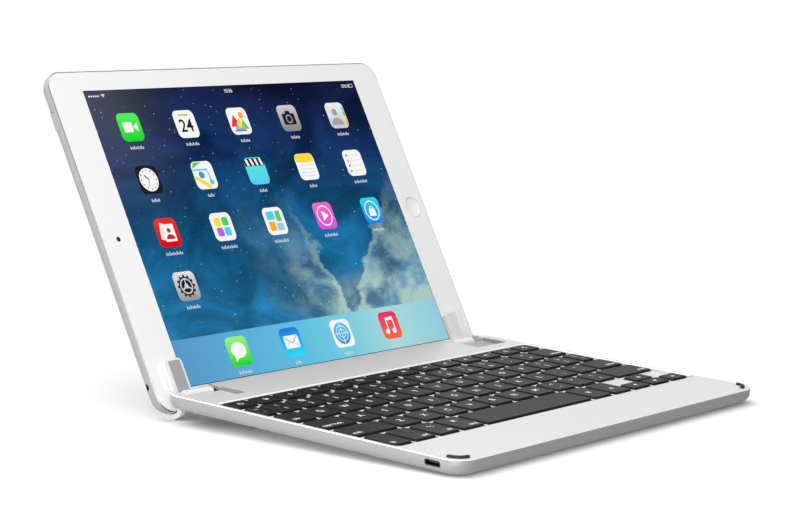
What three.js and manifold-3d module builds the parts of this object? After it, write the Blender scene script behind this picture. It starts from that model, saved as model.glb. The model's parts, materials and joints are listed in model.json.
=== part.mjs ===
// Clip-on keyboard case for a tablet, opened to its typing angle with a tablet docked.
// Millimetres, +Z up. The keyboard base is drawn in its own deck frame: X along the hinge,
// Y towards the hinge, Z up from the deck's top face. The clips and the tablet are drawn in
// a leaning frame: X along the hinge, Y through the tablet from its glass to its back, Z up
// the tablet from its lower edge. The whole stands on its front feet and the clips' soles.
import * as THREE from 'three';
import { mergeVertices } from 'three/addons/utils/BufferGeometryUtils.js';
import Module from 'manifold-3d';

const wasm = await Module();
wasm.setup();

// ---- driving dimensions ----
const WIDTH = 240;                    // base and tablet, along the hinge
const DEPTH = 169.5;                  // base and tablet, across the hinge
const BASE_T = 7;                     // base thickness
const BASE_R = 10;                    // base corner radius in plan
const SIDE_STRAIGHT = 1.8;            // upright part of the base's side wall
const BELLY_IN = 4.5;                 // how far the side curves in at the bottom
const DECK_T = 1.85;                  // plate thickness of the deck
const RIM = 5.7;                      // solid rim left around the hollow base
const COVER_T = 0.8;                  // bottom cover thickness
const GAP = 0.3;                      // clearance between neighbouring pieces

const WELL = { x: 117.4, front: -50.4, rear: 53.3, depth: 1.05, r: 3.5 };
const KEY_GAP = 2.4;                  // gap between keycaps, at their bases
const KEY_W = 14.65;                  // width of a letter key
const KEYS_X = 115.8;                 // half width of the key field
const KEY_H = 2.65;                   // height of a keycap
const WEB_H = 0.5;                    // thickness of the strip that joins a row of keys

const OPEN_DEG = 119.8;               // angle between deck and glass as modelled
const TILT_DEG = 2.17;                // nose-down tilt of the base on a table
const AXIS = { y: 81, z: -3.1 };      // hinge axis in the deck frame
const AXIS_T = { y: -5.2, z: 4.8 };   // the same axis in the leaning frame
const BARREL_R = 3.1;
const PIN_R = 1;

const NOTCH = { in: 88.6, out: 113.8, front: 77.2 };
const POCKET = { front: 61.6, depth: 1.8, r: 1.5 };
const RELIEF = { front: 71.9, top: -3.4 };
const TUNNEL = { in: 72.5, out: 86.2, front: 70, rear: 83.4, top: -0.9, low: -5.1 };

const CLIP = { in: 100.6, out: 108.2, arm: 23.2, back: 26, sole: 2.6, face: 2.6 };
const LINER = { in: 99.6, out: 110.8, thick: 0.7 };

const TAB_T = 7.5;                    // tablet thickness
const TAB_R = 9;                      // tablet corner radius
const TAB_STRAIGHT = 2;               // upright part of the tablet's side
const TAB_BELLY = 5.5;                // depth and inset of the curve to the tablet's back
const GLASS_IN = 1.2;                 // glass edge inside the tablet's outline
const GLASS_T = 0.9;
const HOME = { x: 109.6, r: 5.6 };

const rad = THREE.MathUtils.degToRad;

// ---- materials ----
const material = (color, roughness, metalness) =>
  new THREE.MeshStandardMaterial({ color, roughness, metalness });
const aluminium = material(0xd6d7d9, 0.35, 0.9);
const steel = material(0x9a9c9f, 0.3, 1);
const keyPlastic = material(0x3a3a3c, 0.55, 0);
const rubber = material(0x1b1b1c, 0.8, 0);
const silicone = material(0xf1f2f2, 0.6, 0);
const sheet = material(0xb9bcc0, 0.5, 0.2);
const pouch = material(0x30343a, 0.5, 0.3);
const board = material(0x1f5a37, 0.5, 0);
const glass = material(0xf4f4f4, 0.1, 0);
const display = material(0x1c3f72, 0.2, 0);

// ---- solids ----
// A closed three.js geometry as a solid that can be joined and cut.
function solid(geometry) {
  const g = geometry.clone();
  g.deleteAttribute('normal');
  g.deleteAttribute('uv');
  const merged = mergeVertices(g, 1e-4);
  return new wasm.Manifold(new wasm.Mesh({
    numProp: 3,
    vertProperties: new Float32Array(merged.attributes.position.array),
    triVerts: new Uint32Array(merged.index.array),
  }));
}

function toGeometry(manifold) {
  const mesh = manifold.getMesh();
  const g = new THREE.BufferGeometry();
  g.setAttribute('position', new THREE.BufferAttribute(mesh.vertProperties, 3));
  g.setIndex(new THREE.BufferAttribute(mesh.triVerts, 1));
  g.computeVertexNormals();
  return g;
}

function box(x0, x1, y0, y1, z0, z1) {
  const g = new THREE.BoxGeometry(x1 - x0, y1 - y0, z1 - z0);
  g.translate((x0 + x1) / 2, (y0 + y1) / 2, (z0 + z1) / 2);
  return g;
}

function roundedRect(x0, x1, y0, y1, r) {
  const s = new THREE.Shape();
  s.absarc(x1 - r, y0 + r, r, -Math.PI / 2, 0);
  s.absarc(x1 - r, y1 - r, r, 0, Math.PI / 2);
  s.absarc(x0 + r, y1 - r, r, Math.PI / 2, Math.PI);
  s.absarc(x0 + r, y0 + r, r, Math.PI, 1.5 * Math.PI);
  return s;
}

// A flat outline in X and Y, raised from z0 to z1.
function plate(shape, z0, z1, curveSegments = 4) {
  const g = new THREE.ExtrudeGeometry(shape, { depth: z1 - z0, bevelEnabled: false, curveSegments });
  g.translate(0, 0, z0);
  return g;
}

// An outline in Y and Z, drawn out along X from x0 to x1.
function alongX(shape, x0, x1, curveSegments = 8) {
  const g = new THREE.ExtrudeGeometry(shape, { depth: x1 - x0, bevelEnabled: false, curveSegments });
  g.applyMatrix4(new THREE.Matrix4().set(0, 0, 1, x0, 1, 0, 0, 0, 0, 1, 0, 0, 0, 0, 0, 1));
  return g;
}

function rodX(r, x0, x1, y, z, segments = 24) {
  const g = new THREE.CylinderGeometry(r, r, x1 - x0, segments);
  g.rotateZ(Math.PI / 2);
  g.translate((x0 + x1) / 2, y, z);
  return g;
}

function disc(r, x, y, z0, z1, segments = 24) {
  const g = new THREE.CylinderGeometry(r, r, z1 - z0, segments);
  g.rotateX(Math.PI / 2);
  g.translate(x, y, (z0 + z1) / 2);
  return g;
}

// A slab whose side is upright at its open face and curves in towards its closed face.
// It fills z from -thick to 0, with the open face at z = 0.
function bellied(halfX, halfY, cornerR, thick, straight, inset) {
  const r = Math.max(cornerR - inset, 1);
  const outline = roundedRect(-halfX + inset, halfX - inset, -halfY + inset, halfY - inset, r);
  const g = new THREE.ExtrudeGeometry(outline, {
    depth: straight, bevelThickness: thick - straight, bevelSize: inset,
    bevelSegments: 5, curveSegments: 5,
  });
  g.translate(0, 0, -straight);
  return solid(g).subtract(solid(box(-halfX - 1, halfX + 1, -halfY - 1, halfY + 1, 0, thick)));
}

const union = (list) => list.reduce((a, b) => a.add(b));
const sides = [['left', -1], ['right', 1]];
// A span measured outwards from the middle, on the left (-1) or right (1) half.
const span = (side, a, b) => (side < 0 ? [-b, -a] : [a, b]);

// ---- key layout ----
// Each row lists key names and widths from left to right; the last key fills the row.
const letters = (names) => names.map((name) => [name, KEY_W]);
const functionW = (2 * KEYS_X - 13 * KEY_GAP) / 14;
const ROWS = [
  { id: 'function_row', front: 41.5, rear: 51.9,
    keys: Array.from({ length: 14 }, (_, i) => [`f${i}`, functionW]) },
  { id: 'number_row', front: 24.55, rear: 38.95,
    keys: [['grave', 7.8], ...letters([...'1234567890', 'minus', 'equals']), ['delete', 0]] },
  { id: 'upper_letter_row', front: 7.5, rear: 21.9,
    keys: [['tab', 14.6], ...letters([...'qwertyuiop', 'bracket_open', 'bracket_close']),
      ['backslash', 0]] },
  { id: 'home_row', front: -9.55, rear: 4.85,
    keys: [['caps_lock', 21.8], ...letters([...'asdfghjkl', 'semicolon', 'quote']),
      ['return', 0]] },
  { id: 'lower_letter_row', front: -26.6, rear: -12.2,
    keys: [['shift_left', 28.45], ...letters([...'zxcvbnm', 'comma', 'period', 'slash']),
      ['shift_right', 0]] },
  { id: 'bottom_row', front: -47.4, rear: -29.2,
    keys: [['fn', 12], ['control', 14.3], ['option_left', 14.2], ['command_left', 15.7],
      ['space', 81.6], ['command_right', 14.6], ['option_right', 14.7],
      ['arrow_left', 14.6], ['arrow_down', 14.6], ['arrow_right', 0]] },
];
const ARROW_D = 9.2;                  // depth of the left and right arrow keys
const DOWN_D = 8.7;                   // depth of the down arrow key, below the up arrow
const SPLIT = 0.8;                    // gap between the up and down arrow keys

// Every key as its name, row and box in plan.
function layKeys() {
  const keys = [];
  for (const row of ROWS) {
    let x = -KEYS_X;
    for (const [name, width] of row.keys) {
      const x1 = width ? x + width : KEYS_X;
      const key = { name, row: row.id, x0: x, x1, y0: row.front, y1: row.rear };
      if (name === 'arrow_left' || name === 'arrow_right') key.y1 = row.front + ARROW_D;
      if (name === 'arrow_down') {
        key.y1 = row.front + DOWN_D;
        keys.push({ ...key, name: 'arrow_up', y0: key.y1 + SPLIT, y1: row.rear });
      }
      keys.push(key);
      x = x1 + KEY_GAP;
    }
  }
  return keys;
}
const KEYS = layKeys();

// ---- keyboard base ----
const hollowOutline = (shrink) => {
  const x = WIDTH / 2 - RIM - shrink;
  const y = DEPTH / 2 - RIM - shrink;
  const cornerX = 86 - shrink;        // the rear corners stay solid around the clips
  const cornerY = 59.5 - shrink;
  const s = new THREE.Shape();
  s.moveTo(-x, -y);
  s.lineTo(x, -y);
  s.lineTo(x, cornerY);
  s.lineTo(cornerX, cornerY);
  s.lineTo(cornerX, y);
  s.lineTo(-cornerX, y);
  s.lineTo(-cornerX, cornerY);
  s.lineTo(-x, cornerY);
  return s;
};

const FEET = [['front_left', -98, -73], ['front_right', 98, -73],
  ['rear_left', -98, 50], ['rear_right', 98, 50]];
const FOOT_R = 5;
const FOOT_PROUD = 0.9;
const BUMPER = { in: 5.6, out: 7.2, proud: 1.1, sunk: 1.2 };
const SOCKET = { y: -70, z: -3, w: 7.9, h: 2.3, x0: -119.6, x1: -113 };

function bumperShape(side, grow) {
  const c = WIDTH / 2 - BASE_R;
  const s = new THREE.Shape();
  const from = Math.PI * (side < 0 ? 1 : 1.5);
  const to = from + Math.PI / 2;
  const turn = grow / BUMPER.in;
  const y = -DEPTH / 2 + BASE_R;
  s.absarc(side * c, y, BUMPER.out + grow, from - turn, to + turn, false);
  s.absarc(side * c, y, BUMPER.in - grow, to + turn, from - turn, true);
  return s;
}

function topDeck() {
  let deck = bellied(WIDTH / 2, DEPTH / 2, BASE_R, BASE_T, SIDE_STRAIGHT, BELLY_IN);
  const cuts = [
    plate(hollowOutline(0), -BASE_T - 1, -DECK_T),
    plate(roundedRect(-WELL.x, WELL.x, WELL.front, WELL.rear, WELL.r), -WELL.depth, 1),
    box(SOCKET.x0 - 2, SOCKET.x1 + 1, SOCKET.y - SOCKET.w / 2 - GAP, SOCKET.y + SOCKET.w / 2 + GAP,
      SOCKET.z - SOCKET.h / 2 - GAP, SOCKET.z + SOCKET.h / 2 + GAP),
  ];
  for (const k of KEYS) {
    cuts.push(box(k.x0 - GAP, k.x1 + GAP, k.y0 - GAP, k.y1 + GAP, -4.1, -WELL.depth + 0.1));
  }
  for (const [, side] of sides) {
    const [a, b] = span(side, NOTCH.in, NOTCH.out);
    cuts.push(box(a, b, NOTCH.front, DEPTH, -BASE_T - 1, 1));
    cuts.push(plate(roundedRect(a, b, POCKET.front, DEPTH, POCKET.r), -POCKET.depth, 1, 3));
    cuts.push(box(a, b, RELIEF.front, DEPTH, -BASE_T - 1, RELIEF.top));
    const [c, d] = span(side, TUNNEL.in, TUNNEL.out);
    cuts.push(box(c, d, TUNNEL.front, TUNNEL.rear, TUNNEL.low, TUNNEL.top));
    const [e, f] = span(side, TUNNEL.in + 1, NOTCH.in + 1);
    cuts.push(rodX(PIN_R + 0.6, e, f, AXIS.y, AXIS.z, 16));
    cuts.push(plate(bumperShape(side, GAP), -BUMPER.sunk - GAP, 1, 6));
  }
  for (const cut of cuts) deck = deck.subtract(solid(cut));
  return toGeometry(deck);
}

function bottomCover() {
  let cover = solid(plate(hollowOutline(GAP), -BASE_T, -BASE_T + COVER_T));
  for (const [, x, y] of FEET) {
    cover = cover.subtract(solid(disc(FOOT_R + GAP, x, y, -BASE_T - 1, 0)));
  }
  return toGeometry(cover);
}

function chargingSocket() {
  const half = SOCKET.w / 2;
  const tall = SOCKET.h / 2;
  const wall = 0.35;
  const y = SOCKET.y;
  const z = SOCKET.z;
  const shell = solid(box(SOCKET.x0, SOCKET.x1, y - half, y + half, z - tall, z + tall));
  const mouth = solid(box(SOCKET.x0 - 1, SOCKET.x1 - 1.5,
    y - half + wall, y + half - wall, z - tall + wall, z + tall - wall));
  const tongue = solid(box(SOCKET.x0 + 1, SOCKET.x1 - 1, y - 2.2, y + 2.2, z + 0.05, z + 0.45));
  return toGeometry(shell.subtract(mouth).add(tongue));
}

function hingeBracket(side) {
  const [a, b] = span(side, TUNNEL.in + 1.5, TUNNEL.out - 0.5);
  const [c, d] = span(side, TUNNEL.in, TUNNEL.out);
  const block = solid(box(a, b, TUNNEL.front + 1, TUNNEL.rear - GAP,
    TUNNEL.low + GAP, TUNNEL.top - GAP));
  return toGeometry(block.subtract(solid(rodX(PIN_R + GAP, c, d, AXIS.y, AXIS.z, 16))));
}

const mesh = (name, geometry, mat) => {
  const m = new THREE.Mesh(geometry, mat);
  m.name = name;
  return m;
};

function base() {
  const g = new THREE.Group();
  g.add(mesh('top_deck', topDeck(), aluminium));
  g.add(mesh('bottom_cover', bottomCover(), aluminium));
  g.add(mesh('key_support_plate', plate(roundedRect(-111, 111, -48.5, 52.5, 2), -5.5, -4.9), steel));
  g.add(mesh('membrane_sheet', plate(roundedRect(-111, 111, -48.5, 52.5, 2), -4.6, -4.2), sheet));
  g.add(mesh('battery_pack', plate(roundedRect(-52, 108, -77, -52.5, 2), -5.8, -2.2), pouch));
  g.add(mesh('circuit_board', plate(roundedRect(-112, -58, -77, -54, 1), -5.6, -4.6), board));
  g.add(mesh('usb_charging_socket', chargingSocket(), steel));
  for (const [name, side] of sides) {
    g.add(mesh(`corner_bumper_${name}`,
      plate(bumperShape(side, 0), -BUMPER.sunk, BUMPER.proud, 6), rubber));
    g.add(mesh(`hinge_bracket_${name}`, hingeBracket(side), steel));
  }
  for (const [name, x, y] of FEET) {
    g.add(mesh(`foot_${name}`, disc(FOOT_R, x, y, -BASE_T - FOOT_PROUD, -BASE_T + 0.5), rubber));
  }
  return g;
}

// ---- keys ----
const SINGLE_ROWS = ['home_row', 'bottom_row'];
const SINGLE_KEYS = ['delete', 'shift_left', 'shift_right'];
const isSingle = (k) => SINGLE_ROWS.includes(k.row) || SINGLE_KEYS.includes(k.name);
const keycap = (k) => plate(roundedRect(k.x0, k.x1, k.y0, k.y1, 1), -KEY_H, 0, 1);

// The keys of one row, joined under the deck by a thin strip.
function joinedRow(keys) {
  const parts = keys.map((k) => solid(keycap(k)));
  for (let i = 1; i < keys.length; i += 1) {
    const y = (keys[i].y0 + keys[i].y1) / 2;
    parts.push(solid(box(keys[i - 1].x1 - 2, keys[i].x0 + 2, y - 2, y + 2, -KEY_H, -KEY_H + WEB_H)));
  }
  return toGeometry(union(parts));
}

function keyboard() {
  const g = new THREE.Group();
  for (const k of KEYS.filter(isSingle)) g.add(mesh(`key_${k.name}`, keycap(k), keyPlastic));
  for (const row of ROWS.filter((r) => !SINGLE_ROWS.includes(r.id))) {
    const keys = KEYS.filter((k) => k.row === row.id && !isSingle(k));
    g.add(mesh(`${row.id}_keys`, joinedRow(keys), keyPlastic));
  }
  return g;
}

// ---- clips, in the leaning frame ----
// Closes a cradle's section along its inside, at a clearance from the tablet.
function cradleInner(s, clear, front, rear) {
  s.lineTo(TAB_T + clear, rear);
  s.lineTo(TAB_T + clear, TAB_BELLY);
  s.absarc(TAB_STRAIGHT, TAB_BELLY, TAB_BELLY + clear, 0, -Math.PI / 2, true);
  s.lineTo(-clear, -clear);
  s.lineTo(-clear, front);
}

function clipShape(clear) {
  const { sole, face, arm, back } = CLIP;
  const s = new THREE.Shape();
  s.moveTo(-face, arm);
  s.lineTo(-face, 3);
  s.lineTo(-face - 1.6, 0);
  s.lineTo(-face - 1.6, -1.4);
  s.lineTo(-face + 0.2, -sole);
  s.absarc(TAB_STRAIGHT, TAB_BELLY, TAB_BELLY + sole, -Math.PI / 2, 0, false);
  s.lineTo(TAB_T + sole, back);
  cradleInner(s, clear, arm, back);
  return s;
}

function linerShape() {
  const clear = GAP + LINER.thick;
  const s = new THREE.Shape();
  s.moveTo(-clear, CLIP.arm + 0.8);
  s.lineTo(-clear, -clear);
  s.absarc(TAB_STRAIGHT, TAB_BELLY, TAB_BELLY + clear, -Math.PI / 2, 0, false);
  s.lineTo(TAB_T + clear, CLIP.back + 0.8);
  cradleInner(s, GAP, CLIP.arm + 0.8, CLIP.back + 0.8);
  return s;
}

function clipBracket(side) {
  const [a, b] = span(side, CLIP.in, CLIP.out);
  const [c, d] = span(side, 91.8, CLIP.out);
  const [e, f] = span(side, 91, 106);
  const cradle = solid(alongX(clipShape(2 * GAP + LINER.thick), a, b));
  const barrel = solid(rodX(BARREL_R, c, d, AXIS_T.y, AXIS_T.z));
  return toGeometry(cradle.add(barrel)
    .subtract(solid(rodX(PIN_R + GAP, e, f, AXIS_T.y, AXIS_T.z, 16))));
}

function clipLiner(side) {
  const [a, b] = span(side, LINER.in, LINER.out);
  const [c, d] = span(side, CLIP.out + GAP, LINER.out);
  return toGeometry(solid(alongX(linerShape(), a, b)).add(solid(alongX(clipShape(GAP), c, d))));
}

function hingePin(side) {
  const [a, b] = span(side, TUNNEL.in + 0.5, 105.7);
  return rodX(PIN_R, a, b, AXIS_T.y, AXIS_T.z, 16);
}

// ---- tablet, in the leaning frame ----
const POWER = { z: 146, y: 4.2, long: 9.6, tall: 2.2 };
const VOLUME = [['volume_up', -84], ['volume_down', -72]];
const JACK = { z: 14.4, y: 4.4, r: 1.75 };

// Turns a slab made with its open face up, so that face is the tablet's front.
function facing(geometry) {
  geometry.rotateX(Math.PI / 2);
  geometry.translate(0, 0, DEPTH / 2);
  return geometry;
}

const inset = (d, r) => roundedRect(-WIDTH / 2 + d, WIDTH / 2 - d, -DEPTH / 2 + d, DEPTH / 2 - d, r);

function tabletShell() {
  const body = bellied(WIDTH / 2, DEPTH / 2, TAB_R, TAB_T - 0.3, TAB_STRAIGHT - 0.3, TAB_BELLY);
  const rebate = solid(plate(inset(GLASS_IN - GAP, TAB_R - 1), -GLASS_T, 1));
  const hollow = solid(plate(inset(4, TAB_R - 4), -TAB_T + 1.2, 1));
  const g = toGeometry(body.subtract(rebate).subtract(hollow));
  g.translate(0, 0, -0.3);
  let shell = solid(facing(g));
  const { long, tall } = POWER;
  const cuts = [
    box(-WIDTH / 2 - 1, -WIDTH / 2 + 5, POWER.y - tall / 2 - GAP, POWER.y + tall / 2 + GAP,
      POWER.z - long / 2 - GAP, POWER.z + long / 2 + GAP),
    rodX(JACK.r, -WIDTH / 2 - 1, -WIDTH / 2 + 5, JACK.y, JACK.z, 16),
  ];
  for (const [, x] of VOLUME) {
    cuts.push(box(x - long / 2 - GAP, x + long / 2 + GAP, POWER.y - tall / 2 - GAP,
      POWER.y + tall / 2 + GAP, DEPTH - 5, DEPTH + 1));
  }
  for (const cut of cuts) shell = shell.subtract(solid(cut));
  return toGeometry(shell);
}

function tabletGlass() {
  const pane = solid(plate(inset(GLASS_IN, TAB_R - GLASS_IN), -GLASS_T, 0));
  const hole = solid(disc(HOME.r + GAP, HOME.x, 0, -2, 1, 32));
  return facing(toGeometry(pane.subtract(hole)));
}

function tablet() {
  const g = new THREE.Group();
  const { y, z, long, tall } = POWER;
  const edge = WIDTH / 2;
  g.add(mesh('tablet_back_shell', tabletShell(), aluminium));
  g.add(mesh('tablet_front_glass', tabletGlass(), glass));
  g.add(mesh('tablet_display_panel',
    facing(plate(roundedRect(-99.6, 99.6, -75, 75, 1), -3.2, -1.2)), display));
  g.add(mesh('tablet_battery', facing(plate(roundedRect(-90, 90, -66, 66, 2), -6, -3.5)), pouch));
  g.add(mesh('tablet_home_button', facing(disc(HOME.r, HOME.x, 0, -1.6, -0.05, 32)), glass));
  g.add(mesh('tablet_power_button',
    box(-edge + 0.1, -edge + 4, y - tall / 2, y + tall / 2, z - long / 2, z + long / 2), aluminium));
  for (const [name, x] of VOLUME) {
    g.add(mesh(`tablet_${name}`, box(x - long / 2, x + long / 2, y - tall / 2, y + tall / 2,
      DEPTH - 4, DEPTH - 0.1), aluminium));
  }
  return g;
}

// ---- assembly ----
const lean = rad(OPEN_DEG - 90);
const leaning = new THREE.Group();
leaning.rotation.x = -lean;
leaning.position.set(0,
  AXIS.y - AXIS_T.y * Math.cos(lean) - AXIS_T.z * Math.sin(lean),
  AXIS.z + AXIS_T.y * Math.sin(lean) - AXIS_T.z * Math.cos(lean));
for (const [name, side] of sides) {
  leaning.add(mesh(`clip_bracket_${name}`, clipBracket(side), aluminium));
  leaning.add(mesh(`clip_liner_${name}`, clipLiner(side), silicone));
  leaning.add(mesh(`hinge_pin_${name}`, hingePin(side), steel));
}
leaning.add(tablet());

const assembly = new THREE.Group();
assembly.rotation.x = rad(TILT_DEG);
assembly.add(base(), keyboard(), leaning);

// The origin is under the middle of the whole, on the table.
const group = new THREE.Group();
group.add(assembly);
group.updateMatrixWorld(true);
const bounds = new THREE.Box3().setFromObject(group, true);
const middle = bounds.getCenter(new THREE.Vector3());
assembly.position.set(-middle.x, -middle.y, -bounds.min.z);
group.updateMatrixWorld(true);

export default group;
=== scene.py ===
"""Tablet keyboard case with a docked tablet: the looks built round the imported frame.

The keyboard base is drawn in its deck frame (millimetres, Z up from the deck's top face) and
the clips in the leaning frame of the tablet (X along the hinge, Y through the tablet from its
glass to its back, Z up the tablet). The tablet is drawn lying face up and then stood up.
"""
import json
from math import acos, cos, degrees, hypot, pi, radians, sin

import bmesh
import bpy
from mathutils import Matrix, Vector


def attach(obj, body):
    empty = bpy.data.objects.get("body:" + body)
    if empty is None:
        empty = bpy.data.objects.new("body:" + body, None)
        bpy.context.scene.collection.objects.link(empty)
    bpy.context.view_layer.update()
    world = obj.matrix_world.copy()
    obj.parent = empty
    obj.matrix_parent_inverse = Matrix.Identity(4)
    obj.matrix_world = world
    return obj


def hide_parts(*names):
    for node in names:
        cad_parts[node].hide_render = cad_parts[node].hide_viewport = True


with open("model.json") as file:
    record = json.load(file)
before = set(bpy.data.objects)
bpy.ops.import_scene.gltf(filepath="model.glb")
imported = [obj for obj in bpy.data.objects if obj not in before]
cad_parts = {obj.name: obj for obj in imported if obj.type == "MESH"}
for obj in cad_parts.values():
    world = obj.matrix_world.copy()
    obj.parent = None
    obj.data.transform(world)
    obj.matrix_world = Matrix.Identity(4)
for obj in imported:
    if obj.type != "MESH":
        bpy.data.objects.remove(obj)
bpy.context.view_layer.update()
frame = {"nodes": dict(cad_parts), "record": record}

# ---- dimensions, in millimetres and degrees ----
MM = 0.001
TILT = 2.17                          # nose-down tilt of the base
LEAN = 29.8                          # lean of the tablet from upright, in the deck frame
HALF_X, HALF_Y = 120.0, 84.75        # half of the base and of the tablet in plan
BASE_T, BASE_R = 7.0, 10.0
SIDE, BELLY = 1.8, 4.5               # upright part of the base's side, inset of its belly
CHAMFER = 0.28
WELL = (-117.4, 117.4, -50.4, 53.3)
WELL_D, WELL_RIM = 1.05, 0.6          # depth of the key well, and of the cut round its rim
KEY_GAP, KEY_W, KEYS_X = 2.4, 14.65, 115.8
TAB_T, TAB_R = 7.5, 9.0
TAB_CUT = 0.35                       # polished cut along the tablet's front edge
SCREEN_X, SCREEN_Y = 99.2, 74.3      # half size of the lit display
HINGE_Y, HINGE_Z = 81.0, -3.1        # hinge line in the deck frame
BARREL_Y, BARREL_Z = -5.2, 4.8       # the same line in the leaning frame
BARREL_R = 3.1
RECESS = (88.6, 113.8)               # hinge recess, from the middle line outwards
RECESS_Y, RECESS_Z = 61.6, -1.8      # its front wall and its floor
SOCKET_Y, SOCKET_Z = -70.0, -3.0
ARM = (100.6, 108.2)                 # metal arm of a clip, from the middle line outwards
SLEEVE, FLANGE = (99.6, 110.8), 108.25    # its silicone sleeve, and where the thick outer end begins
REAR_FOOT = 5.6                      # where the rear limbs leave the curve under the tablet
POWER_Y, VOLUME_X = 61.25, {"up": -84.0, "down": -72.0}
SIDE_KEY_Z = -4.2                    # height of the power and volume buttons' middle line
JACK_Y, JACK_Z, JACK_R = -70.35, -4.4, 1.75
HOME_X = 109.6
LENS_X, LENS_Y = -109.5, 74.0

hinge = next(j for j in frame["record"]["behaviour"]["joints"] if j["name"] == "clip_left_hinge")


def placed(angle, y, z):
    """The millimetre frame, turned about X, whose point (y, z) is on the hinge axis."""
    _, hinge_y, hinge_z = hinge["pos_m"]
    return (Matrix.Translation((0, hinge_y, hinge_z)) @ Matrix.Rotation(radians(angle), 4, "X")
            @ Matrix.Scale(MM, 4) @ Matrix.Translation((0, -y, -z)))


DECK = placed(TILT, HINGE_Y, HINGE_Z)
LEANING = placed(TILT - LEAN, BARREL_Y, BARREL_Z)
TABLET = LEANING @ Matrix.Translation((0, 0, HALF_Y)) @ Matrix.Rotation(radians(90), 4, "X")


# ---- materials ----
def material(name, color, rough, metal=0.0, **more):
    m = bpy.data.materials.new(name)
    m.use_nodes = True
    b = m.node_tree.nodes["Principled BSDF"]
    b.inputs["Base Color"].default_value = (*color, 1)
    b.inputs["Roughness"].default_value = rough
    b.inputs["Metallic"].default_value = metal
    for key, value in more.items():
        b.inputs[key.replace("_", " ")].default_value = value
    return m


def node(tree, kind, **values):
    n = tree.nodes.new("ShaderNode" + kind)
    for key, value in values.items():
        if hasattr(n, key):
            setattr(n, key, value)
        else:
            n.inputs[key.replace("_", " ")].default_value = value
    return n


def feed(tree, socket, value):
    """Links a socket to an output, or sets it to a plain value."""
    if isinstance(value, bpy.types.NodeSocket):
        tree.links.new(value, socket)
    else:
        socket.default_value = value


def calc(tree, operation, *values):
    n = node(tree, "Math", operation=operation)
    for socket, value in zip(n.inputs, values):
        feed(tree, socket, value)
    return n.outputs[0]


def between(tree, value, low, high, start=0.0, end=1.0, smooth=True):
    """The value's place between low and high, as a number from start to end."""
    n = node(tree, "MapRange", interpolation_type="SMOOTHSTEP" if smooth else "LINEAR")
    for socket, v in zip(n.inputs, (value, low, high, start, end)):
        feed(tree, socket, v)
    return n.outputs["Result"]


def mixed(tree, mode, factor, a, b):
    n = node(tree, "Mix", data_type="RGBA", blend_type=mode)
    for index, value in ((0, factor), (6, a), (7, b)):
        feed(tree, n.inputs[index], value)
    return n.outputs[2]


def ramp(tree, factor, stops):
    n = node(tree, "ValToRGB")
    while len(n.color_ramp.elements) < len(stops):
        n.color_ramp.elements.new(0.5)
    for e, (position, color) in zip(n.color_ramp.elements, stops):
        e.position, e.color = position, (*color, 1)
    feed(tree, n.inputs["Fac"], factor)
    return n.outputs["Color"]


def grain(m, scale, bump=0.0, depth=0.00002, rough=None, tint=None, stretch=(1, 1, 1)):
    """Fine noise in the material's height and roughness, and broad noise in its colour."""
    tree = m.node_tree
    inputs = tree.nodes["Principled BSDF"].inputs
    coord = node(tree, "TexCoord").outputs["Object"]
    mapping = node(tree, "Mapping", Scale=stretch)
    feed(tree, mapping.inputs["Vector"], coord)
    noise = node(tree, "TexNoise", Scale=scale, Detail=3.0)
    feed(tree, noise.inputs["Vector"], mapping.outputs["Vector"])
    if bump:
        height = node(tree, "Bump", Strength=bump, Distance=depth)
        feed(tree, height.inputs["Height"], noise.outputs["Fac"])
        feed(tree, inputs["Normal"], height.outputs["Normal"])
    if rough:
        spread = between(tree, noise.outputs["Fac"], 0.3, 0.7, *rough, smooth=False)
        feed(tree, inputs["Roughness"], spread)
    if tint:
        broad = node(tree, "TexNoise", Scale=scale * 0.04, Detail=2.0)
        feed(tree, broad.inputs["Vector"], coord)
        color = ramp(tree, broad.outputs["Fac"], ((0.35, tint[0]), (0.65, tint[1])))
        feed(tree, inputs["Base Color"], color)
    return m


def surface(name, value, spread, rough, metal=0.0, scale=2600, bump=0.12, depth=0.00001, blue=0.005,
            stretch=(1, 1, 1), **more):
    """A grey that varies by spread round its value, with a range of roughness."""
    m = material(name, (value, value, value + blue), sum(rough) / 2, metal, **more)
    tint = [(v, v, v + blue) for v in (value - spread, value + spread)]
    return grain(m, scale, bump, depth, rough, tint, stretch)


satin = surface("satin_aluminium", 0.76, 0.004, (0.42, 0.5), 0.35)
# Painted shade: a darker copy of the satin aluminium for the base's sides and faces near its edge, the right recess
# floor and the right rim of the key well.
shaded_side_metal = surface("side_aluminium_painted_shade", 0.54, 0.006, (0.36, 0.44), 0.65)
# Painted shade: a dark copy of the aluminium for the walls and faces inside the base, away from its edge.
shaded_inner_metal = surface("inner_aluminium_painted_shade", 0.3, 0.005, (0.46, 0.54), 0.5)
# A paler polished aluminium for the hinge barrels, made paler still as a painted highlight.
barrel_highlight_metal = surface("barrel_aluminium_painted_highlight", 0.96, 0.006, (0.3, 0.38), 0.25, bump=0.1)
# The two clips are one aluminium in two brightnesses: painted shade on the left clip, painted light on the right
# one.
clip_metal = surface("clip_aluminium", 0.58, 0.01, (0.38, 0.46), 0.6, bump=0.15)
lit_clip_metal = surface("clip_aluminium_painted_light", 0.93, 0.008, (0.38, 0.46), 0.4, bump=0.15)
shell_metal = surface("tablet_aluminium", 0.54, 0.007, (0.37, 0.45), 0.7)
POLISHED = {"rough": (0.22, 0.3), "scale": 900, "bump": 0.05, "depth": 0.000005}
bright = surface("cut_aluminium", 0.97, 0.005, metal=0.35, blue=0.0, **POLISHED)
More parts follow.
